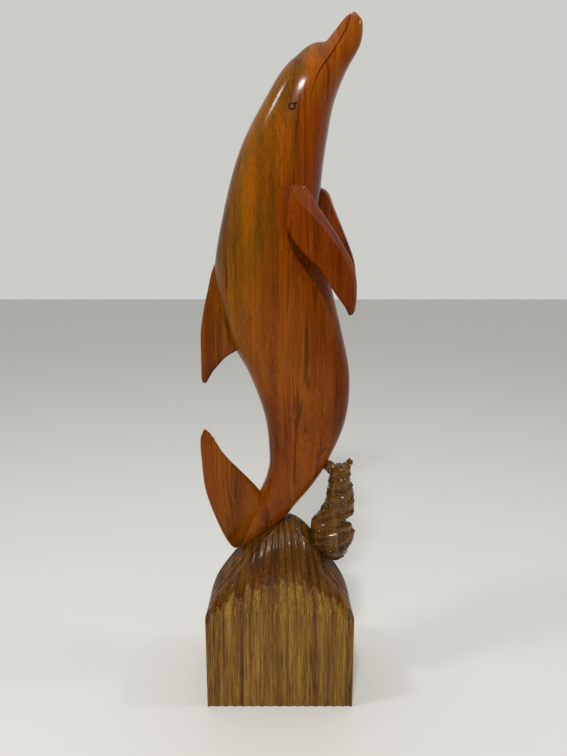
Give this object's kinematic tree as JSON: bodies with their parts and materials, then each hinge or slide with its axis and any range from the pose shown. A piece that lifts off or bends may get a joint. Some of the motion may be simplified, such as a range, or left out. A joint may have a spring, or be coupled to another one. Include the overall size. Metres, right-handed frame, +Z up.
{
  "type": "carved wood dolphin sculpture",
  "caption": "Leaping dolphin carved in varnished wood, standing on its tail on a fluted wooden block with a knob of coral.",
  "frame": {"origin": "centre of the base's flat underside, which stands on the floor or table", "axes": "+Z up, +X the way the dolphin's belly faces, -Y the front that the picture shows"},
  "size_m": [0.251, 0.165, 1.062],
  "materials": {
    "varnished_wood": "red-brown wood with upright grain under glossy varnish",
    "base_wood": "darker brown wood, gouged, glossy on the dome and coral and matt on the block's faces"
  },
  "bodies": {
    "root": {"dolphin": "varnished_wood", "coral_base": "base_wood"}
  },
  "joints": []
}
